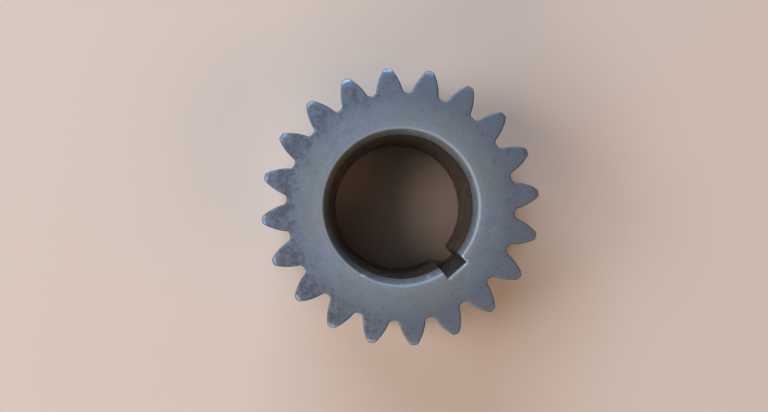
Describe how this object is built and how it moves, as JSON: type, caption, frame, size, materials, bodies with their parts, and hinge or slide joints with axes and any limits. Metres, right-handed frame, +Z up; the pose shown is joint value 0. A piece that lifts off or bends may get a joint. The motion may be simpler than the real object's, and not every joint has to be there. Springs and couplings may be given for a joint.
{
  "type": "countershaft gear",
  "caption": "Wide steel spur gear with a large plain bore, chamfered at both ends, and a through keyway in line with a tooth; pressed and keyed onto a countershaft to carry drive torque",
  "frame": {"origin": "on the bore axis, at the lower end face, on which the gear lies", "axes": "+Z up along the bore axis; +X from the bore axis through the middle of the keyway and of the tooth outside it; +Y completes the right-handed frame"},
  "size_m": [0.116, 0.116, 0.046],
  "materials": {
    "gear_steel": "case-hardened steel, matt blue-grey face with dark mottling, polished round the bore and bright on worn edges"
  },
  "bodies": {
    "root": {"countershaft_gear": "gear_steel"}
  },
  "joints": []
}
